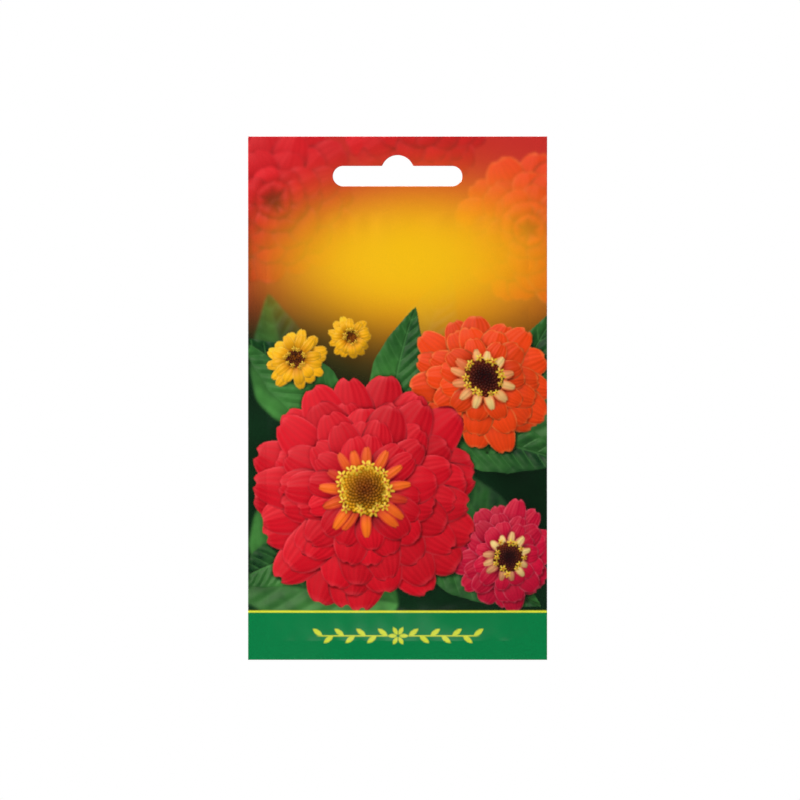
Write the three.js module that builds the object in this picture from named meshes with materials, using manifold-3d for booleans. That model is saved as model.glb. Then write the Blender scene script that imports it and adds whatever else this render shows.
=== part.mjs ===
// A flat paper seed packet with a hang slot in its header and its loose seeds sealed inside.
// Millimetres, +Z up. The printed front faces -Y. The origin is the crown of the hang slot's arch, in the plane
// where the two sheets meet: the point that bears on a display peg.
import * as THREE from "three";
import { mergeVertices } from "three/addons/utils/BufferGeometryUtils.js";
import Module from "manifold-3d";

// The sheets and the seals between them
const PACKET_WIDTH = 80;
const PACKET_HEIGHT = 140;
const SHEET_THICKNESS = 0.15;
const SIDE_SEAL = 5;
const BOTTOM_SEAL = 5;
const HEADER_HEIGHT = 20; // the sealed strip above the pouch, which the slot is punched through

// The hang slot: a rounded bar with an arch over its middle
const ARCH_BELOW_TOP = 5; // from the packet's top edge to the arch's crown
const ARCH_RADIUS = 4.4;
const ARCH_RISE = 2.9; // how far the crown stands above the bar
const ARCH_FILLET = 0.4; // where the arch runs out into the bar's upper edge
const SLOT_WIDTH = 34.6;
const SLOT_HEIGHT = 5.4;
const SLOT_ARC_STEPS = 10;

// The pouch between the seals, swollen by the seeds that lie at its foot
const FRONT_BULGE = 1.9;
const BACK_BULGE = 1.3;
const SIDE_ROUNDING = 2.6;
const FOOT_ROUNDING = 4;
const SHOULDER_ROUNDING = 1.6;
const BELLY_SHARE = 0.35; // how far up the pouch it is fullest
const GRID_STEP = 5; // divides the packet and its seals evenly

// One seed: a flat spearhead with a thinner margin and a notched end
const SEED_COUNT = 50;
const SEED_HALF_LENGTH = 4.2;
const SEED_HALF_WIDTH = 1.9;
const SEED_BODY = 0.34;
const SEED_MARGIN = 0.28;
const SEED_THICKNESS = SEED_BODY + 2 * SEED_MARGIN;
const SEED_TILT = THREE.MathUtils.degToRad(3);
const SEED_CLEARANCE = 0.05; // to each sheet, at the most tilt
const SEED_SPACING = 0.25; // from seed to seed
const SEED_TRIES = 2500;
const HEAP_HALF_WIDTH = 31;
const HEAP_HEIGHT = 60;
const HEAP_DRAW = 4217; // seeds the random draw, so that the heap is the same each time

const TOP = ARCH_BELOW_TOP;
const BOTTOM = TOP - PACKET_HEIGHT;
const POUCH_FOOT = BOTTOM + BOTTOM_SEAL;
const POUCH_HEIGHT = PACKET_HEIGHT - BOTTOM_SEAL - HEADER_HEIGHT;
const POUCH_HALF_WIDTH = PACKET_WIDTH / 2 - SIDE_SEAL;
const TILTED_RISE = (SEED_HALF_LENGTH + SEED_HALF_WIDTH) * Math.sin(SEED_TILT);
const SEED_ROOM = SEED_THICKNESS + 2 * (TILTED_RISE + SEED_CLEARANCE); // the gap that a tilted seed needs

const paper = {
  front: new THREE.MeshStandardMaterial({ color: 0xc4161f, roughness: 0.35, metalness: 0 }),
  back: new THREE.MeshStandardMaterial({ color: 0xf1ecd9, roughness: 0.45, metalness: 0 }),
};
const husk = new THREE.MeshStandardMaterial({ color: 0x6e5a42, roughness: 0.85, metalness: 0 });

const wasm = await Module();
wasm.setup();

// A closed three.js geometry as a solid that can be cut.
function solidFrom(geometry) {
  const bare = geometry.clone();
  bare.deleteAttribute("normal");
  bare.deleteAttribute("uv");
  const merged = mergeVertices(bare, 1e-4);
  const vertProperties = merged.attributes.position.array;
  const triVerts = new Uint32Array(merged.index.array);
  return new wasm.Manifold(new wasm.Mesh({ numProp: 3, vertProperties, triVerts }));
}

// A cut solid as a three.js geometry.
function geometryFrom(solid) {
  const { vertProperties, triVerts } = solid.getMesh();
  const geometry = new THREE.BufferGeometry();
  geometry.setAttribute("position", new THREE.BufferAttribute(vertProperties, 3));
  geometry.setIndex(new THREE.BufferAttribute(triVerts, 1));
  geometry.computeVertexNormals();
  return geometry;
}

// How full the pouch is at a point of the sheet: 0 on the seals, and 1 across the belly that the seeds make.
function fullness(x, z) {
  const across = Math.min(1, Math.abs(x) / POUCH_HALF_WIDTH);
  const up = THREE.MathUtils.clamp((z - POUCH_FOOT) / POUCH_HEIGHT, 0, 1);
  const foot = 1 - (1 - Math.min(1, up / BELLY_SHARE)) ** FOOT_ROUNDING;
  const shoulder = 1 - Math.max(0, (up - BELLY_SHARE) / (1 - BELLY_SHARE)) ** SHOULDER_ROUNDING;
  return (1 - across ** SIDE_ROUNDING) * foot * shoulder;
}

// The outline of the hang slot, anticlockwise: the bar's right end, the arch between its fillets, the left end.
function slotShape() {
  const barTop = -ARCH_RISE;
  const endRadius = SLOT_HEIGHT / 2;
  const endX = SLOT_WIDTH / 2 - endRadius;
  const barMiddle = barTop - endRadius;
  const archMiddle = -ARCH_RADIUS;
  const filletMiddle = barTop + ARCH_FILLET;
  const filletReach = ARCH_RADIUS + ARCH_FILLET;
  const archFoot = Math.asin((filletMiddle - archMiddle) / filletReach);
  const filletX = filletReach * Math.cos(archFoot);
  const shape = new THREE.Shape();
  shape.absarc(endX, barMiddle, endRadius, -Math.PI / 2, Math.PI / 2, false);
  shape.absarc(filletX, filletMiddle, ARCH_FILLET, (3 * Math.PI) / 2, Math.PI + archFoot, true);
  shape.absarc(0, archMiddle, ARCH_RADIUS, archFoot, Math.PI - archFoot, false);
  shape.absarc(-filletX, filletMiddle, ARCH_FILLET, -archFoot, -Math.PI / 2, true);
  shape.absarc(-endX, barMiddle, endRadius, Math.PI / 2, (3 * Math.PI) / 2, false);
  return shape;
}

// The punch that cuts the slot, long enough to pass through both sheets.
function slotPunch() {
  const reach = 2 * SHEET_THICKNESS;
  const punch = new THREE.ExtrudeGeometry(slotShape(), {
    depth: 2 * reach,
    bevelEnabled: false,
    curveSegments: SLOT_ARC_STEPS,
  });
  punch.translate(0, 0, -reach);
  punch.rotateX(Math.PI / 2);
  return solidFrom(punch);
}

// One sheet of the packet: a thin board pressed out over the pouch. side is -1 for the front and 1 for the back.
function sheetGeometry(side, bulge) {
  const columns = PACKET_WIDTH / GRID_STEP;
  const rows = PACKET_HEIGHT / GRID_STEP;
  const board = new THREE.BoxGeometry(PACKET_WIDTH, SHEET_THICKNESS, PACKET_HEIGHT, columns, 1, rows);
  board.translate(0, (side * SHEET_THICKNESS) / 2, (TOP + BOTTOM) / 2);
  const place = board.attributes.position;
  for (let i = 0; i < place.count; i++) {
    const swell = side * bulge * fullness(place.getX(i), place.getZ(i));
    place.setY(i, place.getY(i) + swell);
  }
  return geometryFrom(solidFrom(board).subtract(slotPunch()));
}

// A repeatable random draw from 0 to 1.
function drawFrom(seed) {
  let state = seed;
  return () => {
    state = (state + 0x6d2b79f5) | 0;
    let mixed = Math.imul(state ^ (state >>> 15), 1 | state);
    mixed = (mixed + Math.imul(mixed ^ (mixed >>> 7), 61 | mixed)) ^ mixed;
    return ((mixed ^ (mixed >>> 14)) >>> 0) / 4294967296;
  };
}

// A seed lying in the XZ plane, its narrow end down.
function seedGeometry() {
  const halfOutline = [
    [0.35, -SEED_HALF_LENGTH],
    [1.25, -1],
    [SEED_HALF_WIDTH, 2.2],
    [1.3, 3.95],
  ];
  const notch = new THREE.Vector2(0, 3.55);
  const right = halfOutline.map(([x, y]) => new THREE.Vector2(x, y));
  const left = halfOutline.map(([x, y]) => new THREE.Vector2(-x, y)).reverse();
  const seed = new THREE.ExtrudeGeometry(new THREE.Shape([...right, notch, ...left]), {
    depth: SEED_BODY,
    bevelThickness: SEED_MARGIN,
    bevelSize: SEED_MARGIN,
    bevelOffset: -SEED_MARGIN,
    bevelSegments: 1,
  });
  seed.translate(0, 0, -SEED_BODY / 2);
  seed.rotateX(Math.PI / 2);
  return seed;
}

// The discs that cover a seed's outline, as [distance along it, radius], for testing what it would touch.
const SEED_DISCS = [
  [-3.1, 1],
  [-1, 1.4],
  [1.6, 2.1],
  [2.9, 1.75],
];

function discsOf(place) {
  return SEED_DISCS.map(([along, radius]) => ({
    x: place.x + along * Math.sin(place.turn),
    z: place.z + along * Math.cos(place.turn),
    radius,
  }));
}

// The narrowest gap between the sheets over a seed's discs.
function narrowestGap(discs) {
  const reach = [-1, 0, 1];
  const gaps = discs.flatMap(({ x, z, radius }) =>
    reach.flatMap((i) => reach.map((j) => fullness(x + i * radius, z + j * radius))),
  );
  return Math.min(...gaps) * (FRONT_BULGE + BACK_BULGE);
}

function touches(discs, others) {
  return others.some((other) =>
    discs.some((disc) =>
      other.discs.some(
        (near) => Math.hypot(disc.x - near.x, disc.z - near.z) < disc.radius + near.radius + SEED_SPACING,
      ),
    ),
  );
}

// The seeds' places. Each one falls to the lowest free place of those that it tries.
function heapOfSeeds() {
  const draw = drawFrom(HEAP_DRAW);
  const settled = [];
  while (settled.length < SEED_COUNT) {
    let lowest = null;
    for (let i = 0; i < SEED_TRIES; i++) {
      const place = {
        x: HEAP_HALF_WIDTH * (2 * draw() - 1),
        z: POUCH_FOOT + HEAP_HEIGHT * draw(),
        turn: 2 * Math.PI * draw(),
      };
      if (lowest && place.z > lowest.z) continue;
      const discs = discsOf(place);
      const gap = narrowestGap(discs);
      if (gap < SEED_ROOM || touches(discs, settled)) continue;
      lowest = { ...place, discs, slack: (gap - SEED_ROOM) / 2 };
    }
    const middle = ((BACK_BULGE - FRONT_BULGE) / 2) * fullness(lowest.x, lowest.z);
    lowest.y = middle + lowest.slack * (2 * draw() - 1);
    lowest.pitch = SEED_TILT * (2 * draw() - 1);
    lowest.roll = SEED_TILT * (2 * draw() - 1);
    settled.push(lowest);
  }
  return settled;
}

const packet = new THREE.Group();

const front = new THREE.Mesh(sheetGeometry(-1, FRONT_BULGE), paper.front);
front.name = "front_sheet";
const back = new THREE.Mesh(sheetGeometry(1, BACK_BULGE), paper.back);
back.name = "back_sheet";
packet.add(front, back);

const oneSeed = seedGeometry();
const seeds = new THREE.Group();
heapOfSeeds().forEach((place, i) => {
  const seed = new THREE.Mesh(oneSeed, husk);
  seed.name = `seed_${String(i + 1).padStart(2, "0")}`;
  seed.position.set(place.x, place.y, place.z);
  seed.rotation.set(place.pitch, place.turn, place.roll, "YXZ");
  seeds.add(seed);
});
packet.add(seeds);

export default packet;
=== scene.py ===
"""A flat seed packet with a hang slot: two webs of printed, film-coated paper round a pouch of seeds.

Places are millimetres in the packet's own frame, and become metres where a mesh is made. X runs to the
right of the printed front, Z up, and the front faces -Y. The origin is the crown of the hang slot.
"""

import math

import bpy
import numpy as np
from mathutils import Matrix, Vector
from mathutils.geometry import delaunay_2d_cdt


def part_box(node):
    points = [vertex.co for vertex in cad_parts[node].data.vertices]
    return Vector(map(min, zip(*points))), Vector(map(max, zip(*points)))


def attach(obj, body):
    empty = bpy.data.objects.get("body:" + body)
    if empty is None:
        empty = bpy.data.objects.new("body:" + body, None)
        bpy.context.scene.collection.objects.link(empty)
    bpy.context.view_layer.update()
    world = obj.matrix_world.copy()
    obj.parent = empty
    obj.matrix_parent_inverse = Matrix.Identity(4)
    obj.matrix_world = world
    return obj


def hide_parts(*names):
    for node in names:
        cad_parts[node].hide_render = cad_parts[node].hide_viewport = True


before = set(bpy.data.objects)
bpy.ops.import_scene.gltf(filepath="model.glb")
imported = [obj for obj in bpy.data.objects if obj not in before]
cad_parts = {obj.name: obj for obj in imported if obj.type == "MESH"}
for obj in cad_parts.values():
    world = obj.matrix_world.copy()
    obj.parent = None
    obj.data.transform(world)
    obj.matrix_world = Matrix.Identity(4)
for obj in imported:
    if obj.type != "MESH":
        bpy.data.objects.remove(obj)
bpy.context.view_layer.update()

# --- Seeds ----------------------------------------------------------------------------------------
# Fifty dry seeds lie loose in the foot of the pouch. Each is a flat husk, narrow at one end and notched
# at the broad one, with a rib down each face. They are poured in before the last seal is made.

MM = 0.001
SEED_HALF_LENGTH = 4.05
SEED_HALF_WIDTH = 1.8
SEED_HALF_THICKNESS = 0.4
SEED_WIDEST = 0.76  # share of the length from the narrow end
SEED_NOTCH = 0.5
SEED_RIB = 0.22  # share of the thickness
SEED_RINGS = 28
SEED_SIDES = 28
HUSK_DARK = 0x3B2D20
HUSK_MID = 0x75614A
HUSK_PALE = 0xA08C6C


def ink(code):
    """A colour written as sRGB, in the linear values that shaders and light work with."""
    shares = np.array([(code >> shift) & 255 for shift in (16, 8, 0)]) / 255
    return np.where(shares <= 0.04045, shares / 12.92, ((shares + 0.055) / 1.055) ** 2.4)


def smooth(start, end, value):
    """0 up to start, 1 from end on, and an even S between them. start may be the larger of the two."""
    share = np.clip((value - start) / (end - start), 0, 1)
    return share * share * (3 - 2 * share)


def fill_mesh(mesh, places, faces):
    """Fills a mesh from places in millimetres and from lists of faces, with one number of corners to each
    list. Returns the corners of all the faces in a row."""
    corners = np.concatenate([some.ravel() for some in faces])
    counts = np.concatenate([np.full(len(some), some.shape[1]) for some in faces])
    mesh.vertices.add(len(places))
    mesh.vertices.foreach_set("co", (places * MM).ravel())
    mesh.loops.add(len(corners))
    mesh.loops.foreach_set("vertex_index", corners)
    mesh.polygons.add(len(counts))
    mesh.polygons.foreach_set("loop_start", np.cumsum(counts) - counts)
    mesh.update(calc_edges=True)
    return corners


def husk_mesh():
    """One seed along Z, its narrow end down, as rings from end to end with a point at each."""
    share = (1 - np.cos(np.linspace(0.12, math.pi - 0.12, SEED_RINGS))) / 2
    turn = np.linspace(0, 2 * math.pi, SEED_SIDES, endpoint=False)
    share, turn = np.meshgrid(share, turn, indexing="ij")
    outline = 0.2 + 0.8 * np.sin(math.pi / 2 * np.minimum(1, share / SEED_WIDEST)) ** 1.3
    outline *= 1 - 0.34 * smooth(SEED_WIDEST, 1, share)
    thick = 0.4 + 0.6 * np.sin(math.pi * share**0.9)
    sideways = np.cos(turn)
    rib = SEED_RIB * np.exp(-((sideways / 0.2) ** 2))
    x = SEED_HALF_WIDTH * outline * sideways
    y = SEED_HALF_THICKNESS * thick * np.sin(turn) * (1 - SEED_RIB + rib)
    notch = SEED_NOTCH * smooth(0.8, 1, share) * (1 - np.abs(sideways)) ** 1.5
    z = SEED_HALF_LENGTH * (2 * share - 1) - notch
    rings = np.stack([x, y, z], -1).reshape(-1, 3)
    ends = [[0, 0, -SEED_HALF_LENGTH], [0, 0, SEED_HALF_LENGTH - SEED_NOTCH]]
    index = np.arange(SEED_RINGS * SEED_SIDES).reshape(SEED_RINGS, SEED_SIDES)
    beside = np.roll(index, -1, 1)
    walls = np.stack([index[:-1], beside[:-1], beside[1:], index[1:]], -1).reshape(-1, 4)
    foot, head = index.size, index.size + 1
    foot_fan = np.stack([beside[0], index[0], np.full(SEED_SIDES, foot)], -1)
    head_fan = np.stack([index[-1], beside[-1], np.full(SEED_SIDES, head)], -1)
    mesh = bpy.data.meshes.new("husk")
    fill_mesh(mesh, np.concatenate([rings, ends]), [walls, foot_fan, head_fan])
    return mesh


def seed_place(node):
    """A packed seed's middle, and its width, thickness and length directions as a matrix's columns."""
    points = np.unique(np.array([v.co for v in node.data.vertices]).round(7), axis=0)
    _, directions = np.linalg.eigh(np.cov(points.T))
    runs = points @ directions
    middles = (runs.min(0) + runs.max(0)) / 2
    _, aside, along = (runs - middles).T
    thickness, _, length = directions.T
    if np.sum(along * aside**2) < 0:
        length = -length
    return directions @ middles, np.stack([np.cross(thickness, length), thickness, length], 1)


def new_object(name, data):
    """An object in the scene."""
    made = bpy.data.objects.new(name, data)
    bpy.context.scene.collection.objects.link(made)
    return made


def feed(tree, node, inputs):
    """Sets a node's inputs, by a socket's name or number, to a value or to the socket that feeds it."""
    for name, value in dict(inputs).items():
        if isinstance(value, bpy.types.NodeSocket):
            tree.links.new(value, node.inputs[name])
        else:
            node.inputs[name].default_value = value


def add(tree, kind, inputs=(), **settings):
    """Adds a node to a shader tree."""
    made = tree.nodes.new(kind)
    for name, value in settings.items():
        setattr(made, name, value)
    feed(tree, made, inputs)
    return made


def sum_up(tree, operation, *values):
    """The output of a math node."""
    return add(tree, "ShaderNodeMath", enumerate(values), operation=operation).outputs[0]


def blend(tree, share, first, second):
    """The output of a mix node, whose colours are its inputs 6 and 7 and its output 2."""
    mix = add(tree, "ShaderNodeMix", {"Factor": share, 6: first, 7: second}, data_type="RGBA")
    return mix.outputs[2]


def spread(tree, value, low, high, new_low, new_high):
    """The output of a range map that stops at its ends."""
    inputs = {"Value": value, "From Min": low, "From Max": high, "To Min": new_low, "To Max": new_high}
    return add(tree, "ShaderNodeMapRange", inputs).outputs["Result"]


def rgba(code):
    """The same colour for a shader's socket."""
    return (*ink(code), 1.0)


def noise_in(tree, size, place=None, **inputs):
    """The output of a noise texture whose blotches are size metres across."""
    place = place or add(tree, "ShaderNodeTexCoord").outputs["Object"]
    inputs.update(Vector=place, Scale=sum_up(tree, "DIVIDE", 1.0, size))
    return add(tree, "ShaderNodeTexNoise", inputs).outputs["Fac"]


def emboss(tree, shader, height):
    """Shapes a material's surface by a fine relief, whose height is in millimetres."""
    bump = add(tree, "ShaderNodeBump", {"Height": height, "Distance": MM})
    feed(tree, shader, {"Normal": bump.outputs["Normal"]})


def new_group(name, inputs, outputs):
    """A shader node group with named sockets, the sockets it is given, and the node for its results."""
    group = bpy.data.node_groups.new(name, "ShaderNodeTree")
    for in_out, sockets in (("INPUT", inputs), ("OUTPUT", outputs)):
        for socket_name, kind in sockets.items():
            group.interface.new_socket(socket_name, in_out=in_out, socket_type="NodeSocket" + kind)
    return group, add(group, "NodeGroupInput").outputs, add(group, "NodeGroupOutput")


def place_group(tree, group, inputs):
    """The outputs of a group where a material uses it."""
    return add(tree, "ShaderNodeGroup", inputs, node_tree=group).outputs


def new_material(name):
    """A material with an empty Principled shader, its tree, and that shader."""
    material = bpy.data.materials.new(name)
    material.use_nodes = True
    return material, material.node_tree, material.node_tree.nodes["Principled BSDF"]


# Fibre: the fine grain of anything made of plant fibre, stretched along the piece by Stretch
fibre, given, result = new_group(
    "fibre",
    {"Size": "Float", "Stretch": "Float", "Height": "Float"},
    {"Grain": "Float", "Height": "Float"},
)
place = add(fibre, "ShaderNodeTexCoord").outputs["Object"]
squeeze = add(fibre, "ShaderNodeCombineXYZ", {"X": 1.0, "Y": 1.0, "Z": given["Stretch"]})
drawn_out = add(fibre, "ShaderNodeVectorMath", {0: place, 1: squeeze.outputs[0]}, operation="MULTIPLY")
grain = noise_in(fibre, given["Size"], drawn_out.outputs[0], Detail=4.0, Roughness=0.62)
feed(fibre, result, {"Grain": grain, "Height": sum_up(fibre, "MULTIPLY", grain, given["Height"])})

husk, tree, shader = new_material("husk")
coarse = place_group(tree, fibre, {"Size": 0.0011, "Stretch": 0.3, "Height": 0.05})
fine = place_group(tree, fibre, {"Size": 0.00018, "Stretch": 0.2, "Height": 0.02})
patches = spread(tree, coarse["Grain"], 0.35, 0.65, 0.0, 1.0)
streaks = spread(tree, fine["Grain"], 0.3, 0.75, 0.0, 0.6)
brown = blend(tree, patches, rgba(HUSK_DARK), rgba(HUSK_MID))
dullness = spread(tree, coarse["Grain"], 0.3, 0.7, 0.9, 0.7)
feed(tree, shader, {"Base Color": blend(tree, streaks, brown, rgba(HUSK_PALE)), "Roughness": dullness})
emboss(tree, shader, sum_up(tree, "ADD", coarse["Height"], fine["Height"]))

one_husk = husk_mesh()
one_husk.materials.append(husk)
seed_places = []
for name in sorted(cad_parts):
    if name.startswith("seed_"):
        middle, directions = seed_place(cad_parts[name])
        seed_places.append((middle / MM, directions))
        seed = new_object(name.replace("seed", "husk"), one_husk)
        seed.matrix_world = Matrix.Translation(middle) @ Matrix(directions.tolist()).to_4x4()
        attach(seed, "root")
        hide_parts(name)

# --- Front web ------------------------------------------------------------------------------------
# The front is one web of white paper, printed with a bunch of garden flowers and coated with clear film.
# It is welded to the back along both sides, the foot and the header, and swells over the seeds.

packet_low, packet_high = (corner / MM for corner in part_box("front_sheet"))
WIDTH = packet_high.x - packet_low.x
HEIGHT = packet_high.z - packet_low.z
TOP = packet_high.z
FOOT = packet_low.z
WEB = 0.15  # thickness of a web
PRINT_SPACING = 0.25  # from point to point of a printed face's mesh
INNER_SPACING = 1.0  # the same on the plain inner face
WELD_GAP = 0.01  # from a web's inner face to the plane between the two
FRONT_BULGE = -packet_low.y - WEB
WELD = 5.0  # width of the welds along the sides and the foot
HEADER = 20.0
POUCH_HALF_WIDTH = WIDTH / 2 - WELD
POUCH_FOOT = FOOT + WELD
POUCH_TOP = TOP - HEADER
BELLY_SHARE = 0.35  # how far up the pouch it is fullest
SIDE_ROUNDING = 2.6
FOOT_ROUNDING = 4.0
SHOULDER_ROUNDING = 1.6

PUCKER = 0.16  # height of the pleats along the welds
PUCKER_REACH = 3.2  # how far into the pouch they are highest
PUCKER_LENGTHS = (8.3, 13.1, 5.7)
CRIMP_PITCH = 1.6  # from diamond to diamond of what the sealing jaws press in
CRIMP_HEIGHT = 0.014
PRESS = 0.13  # how far a seed shows through the paper
PRESS_LONG = 3.7
PRESS_WIDE = 1.9
CURL_START = -40.0  # from where the packet's head curls forwards
CURL = 0.7  # how far forwards its top edge is, in the middle

ARCH_RADIUS = 4.4
ARCH_RISE = 2.9  # from the slot's bar to its crown
ARCH_FILLET = 0.4
SLOT_WIDTH = 34.6
SLOT_HEIGHT = 5.4
SLOT_END = SLOT_HEIGHT / 2
SLOT_END_X = SLOT_WIDTH / 2 - SLOT_END
SLOT_MIDDLE = -ARCH_RISE - SLOT_END


def fullness(x, z):
    """How full the pouch is: 0 on the welds and 1 across the belly."""
    across = np.minimum(1, np.abs(x) / POUCH_HALF_WIDTH)
    up = np.clip((z - POUCH_FOOT) / (POUCH_TOP - POUCH_FOOT), 0, 1)
    foot = 1 - (1 - np.minimum(1, up / BELLY_SHARE)) ** FOOT_ROUNDING
    shoulder = 1 - np.maximum(0, (up - BELLY_SHARE) / (1 - BELLY_SHARE)) ** SHOULDER_ROUNDING
    return (1 - across**SIDE_ROUNDING) * foot * shoulder


def puckers(x, z):
    """The small pleats that cross each weld's inner edge and run out in the pouch."""
    gaps = [POUCH_HALF_WIDTH - x, POUCH_HALF_WIDTH + x, z - POUCH_FOOT, POUCH_TOP - z]
    fade = np.prod([1 - np.exp(-np.clip(gap, 0, None) / 1.5) for gap in gaps], axis=0)
    total = np.zeros_like(x)
    for phase, (gap, run) in enumerate(zip(gaps, (z, z, x, x))):
        for number, length in enumerate(PUCKER_LENGTHS, 1):
            reach = PUCKER_REACH * (1 + 0.45 * np.sin(run / 5.3 + 2 * phase + number))
            strength = 0.7 + 0.6 * np.sin(run / 8.7 + phase + 2.3 * number)
            wave = np.sin(2 * math.pi * run / length + phase * number + 0.8 * np.sin(run / 11.3 + phase))
            total += strength * wave * np.exp((1 - (gap / reach) ** 2) / 2)
    return PUCKER / len(PUCKER_LENGTHS) * total * fade


def seed_marks(x, z):
    """The soft bumps where seeds press on the paper."""
    marks = np.zeros_like(x)
    for middle, directions in seed_places:
        along_x, _, along_z = directions[:, 2]
        off_x, off_z = x - middle[0], z - middle[2]
        along = (off_x * along_x + off_z * along_z) / PRESS_LONG
        aside = (off_z * along_x - off_x * along_z) / PRESS_WIDE
        marks += np.exp(-(along**2) - aside**2)
    return PRESS * marks


def weld_crimp(x, z):
    """The fine diamonds that the sealing jaws press into the welds."""
    header_weld = np.minimum(z - POUCH_TOP, POUCH_TOP + WELD - z)
    on_weld = smooth(0, 0.5, np.max([np.abs(x) - POUCH_HALF_WIDTH, POUCH_FOOT - z, header_weld], axis=0))
    waves = [np.sin(2 * math.pi * run / CRIMP_PITCH) for run in (x + z, x - z)]
    return CRIMP_HEIGHT * on_weld * waves[0] * waves[1]


def curl(x, z):
    """How far the packet's head leans forwards, one corner more than the other."""
    rise = np.clip((z - CURL_START) / (TOP - CURL_START), 0, 1)
    return -CURL * rise**2 * (1 + 0.5 * x / WIDTH)


def web_y(x, z, side, bulge, lift):
    """Y of a web at a point, lift above its inner face. side is -1 for the front and 1 for the back. The
    webs pucker together, so that they never cross."""
    swell = WELD_GAP + bulge * fullness(x, z) + seed_marks(x, z)
    return side * (swell + lift) + puckers(x, z) + curl(x, z)


def line(start, end, spacing):
    """Points along a straight line, without its last one."""
    start, end = np.array(start, float), np.array(end, float)
    steps = max(1, round(np.linalg.norm(end - start) / spacing))
    return start + (end - start) * np.linspace(0, 1, steps, endpoint=False)[:, None]


def arc(middle_x, middle_z, radius, start, end, spacing):
    """Points along an arc, without its last one."""
    steps = max(4, math.ceil(abs(end - start) * radius / spacing))
    turn = np.linspace(start, end, steps, endpoint=False)
    return np.stack([middle_x + radius * np.cos(turn), middle_z + radius * np.sin(turn)], 1)


def packet_outline(spacing):
    """The packet's cut edge, anticlockwise from its lower left corner."""
    corners = [(-WIDTH / 2, FOOT), (WIDTH / 2, FOOT), (WIDTH / 2, TOP), (-WIDTH / 2, TOP)]
    return np.concatenate([line(a, b, spacing) for a, b in zip(corners, corners[1:] + corners[:1])])


def slot_outline(spacing):
    """The hang slot, anticlockwise: a bar with round ends, under an arch between two fillets."""
    quarter = math.pi / 2
    reach = ARCH_RADIUS + ARCH_FILLET
    fillet_z = ARCH_FILLET - ARCH_RISE
    arch_foot = math.asin((fillet_z + ARCH_RADIUS) / reach)
    fillet_x = reach * math.cos(arch_foot)
    bar_foot = -ARCH_RISE - SLOT_HEIGHT
    return np.concatenate([
        arc(SLOT_END_X, SLOT_MIDDLE, SLOT_END, -quarter, quarter, spacing),
        line((SLOT_END_X, -ARCH_RISE), (fillet_x, -ARCH_RISE), spacing),
        arc(fillet_x, fillet_z, ARCH_FILLET, 3 * quarter, math.pi + arch_foot, spacing),
        arc(0, -ARCH_RADIUS, ARCH_RADIUS, arch_foot, math.pi - arch_foot, spacing),
        arc(-fillet_x, fillet_z, ARCH_FILLET, -arch_foot, -quarter, spacing),
        line((-fillet_x, -ARCH_RISE), (-SLOT_END_X, -ARCH_RISE), spacing),
        arc(-SLOT_END_X, SLOT_MIDDLE, SLOT_END, quarter, 3 * quarter, spacing),
        line((-SLOT_END_X, bar_foot), (SLOT_END_X, bar_foot), spacing),
    ])


def in_slot(points, outline):
    """Which points lie inside the slot's outline."""
    found = np.zeros(len(points), bool)
    boxed = np.flatnonzero(((points > outline.min(0)) & (points < outline.max(0))).all(1))
    x, z = points[boxed, :1], points[boxed, 1:]
    (a_x, a_z), (b_x, b_z) = outline.T, np.roll(outline, -1, 0).T
    crossing = (a_z > z) != (b_z > z)
    reach = a_x + (z - a_z) * (b_x - a_x) / np.where(b_z == a_z, 1, b_z - a_z)
    found[boxed] = (crossing & (x < reach)).sum(1) % 2 == 1
    return found


def slot_distance(x, z):
    """How far a point is from the slot's edge, its fillets left out."""
    bar = np.hypot(np.clip(np.abs(x) - SLOT_END_X, 0, None), z - SLOT_MIDDLE) - SLOT_END
    arch = np.hypot(x, z + ARCH_RADIUS) - ARCH_RADIUS
    return np.where(z > SLOT_MIDDLE, np.minimum(bar, arch), bar)


def web_plan(edge, slot, spacing):
    """A web seen flat, as points and triangles. The points of its cut edge and its slot come first."""
    rows = np.linspace(FOOT, TOP, round(HEIGHT / spacing / math.sin(math.pi / 3)) + 1)[1:-1]
    columns = np.linspace(-WIDTH / 2, WIDTH / 2, round(WIDTH / spacing) + 1)[1:-1]
    x, z = np.meshgrid(columns, rows)
    x[1::2] += spacing / 2
    points = np.stack([x.ravel(), z.ravel()], 1)
    clear = (points[:, 0] < WIDTH / 2 - spacing / 3) & (slot_distance(*points.T) > spacing * 0.6)
    points = np.concatenate([edge, slot, points[clear]])
    rings = []
    for first, count in ((0, len(edge)), (len(edge), len(slot))):
        rings += [(first + i, first + (i + 1) % count) for i in range(count)]
    made = delaunay_2d_cdt([Vector(p) for p in points], rings, [], 1, 1e-7, False)
    triangles = np.array(made[2])
    return points, triangles[~in_slot(points[triangles].mean(1), slot)]


MAP_MARGIN = 0.01
RIM_STRIP = 0.02  # height of the cut edges' strip in the map


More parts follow.
